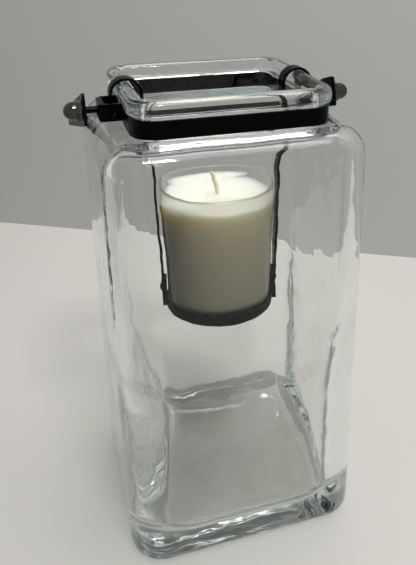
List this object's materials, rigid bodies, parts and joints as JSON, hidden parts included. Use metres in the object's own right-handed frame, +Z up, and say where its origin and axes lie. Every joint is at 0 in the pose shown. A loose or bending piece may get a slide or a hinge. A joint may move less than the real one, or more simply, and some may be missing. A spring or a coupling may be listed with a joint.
{
  "type": "candle lantern",
  "caption": "Square clear-glass candle lantern with a black strap collar, a folding bail handle and a votive cup hung on hooks inside its mouth.",
  "frame": {"origin": "centre of the jar's foot, on the surface it stands on", "axes": "+Z up, +X to the right of the front, front faces -Y; the collar's pivots lie along X"},
  "size_m": [0.152, 0.1312, 0.2571],
  "materials": {
    "jar_glass": "clear pressed glass with a faint green tint",
    "cup_glass": "clear votive glass",
    "black_metal": "satin black",
    "black_nickel": "glossy black nickel",
    "wax": "ivory wax",
    "wick": "waxed cotton",
    "tab_metal": "plain sheet"
  },
  "bodies": {
    "lantern_body": {"glass_jar": "jar_glass", "band_front": "black_metal", "band_back": "black_metal", "stud_left": "black_nickel", "stud_right": "black_nickel", "acorn_nut_left": "black_nickel", "acorn_nut_right": "black_nickel", "clamp_screw_left": "black_nickel", "clamp_screw_right": "black_nickel", "clamp_nut_left": "black_nickel", "clamp_nut_right": "black_nickel"},
    "bail": {"bail_handle": "black_metal"},
    "hanger": {"hanger_strap_left": "black_metal", "hanger_strap_right": "black_metal", "candle_tray": "black_metal", "tray_rivet_left": "black_metal", "tray_rivet_right": "black_metal"},
    "cup": {"votive_cup": "cup_glass", "candle_wax": "wax", "candle_wick": "wick", "wick_tab": "tab_metal"}
  },
  "joints": [
    {"name": "bail_hinge", "type": "hinge", "parent": "lantern_body", "child": "bail", "pos_m": [0, 0, 0.24175], "axis": [1, 0, 0], "range_deg": [0, 214]},
    {"name": "hanger_lift", "type": "slide", "parent": "lantern_body", "child": "hanger", "axis": [0, 0, 1], "range_m": [0, 0.14]},
    {"name": "cup_lift", "type": "slide", "parent": "hanger", "child": "cup", "axis": [0, 0, 1], "range_m": [0, 0.14]}
  ]
}
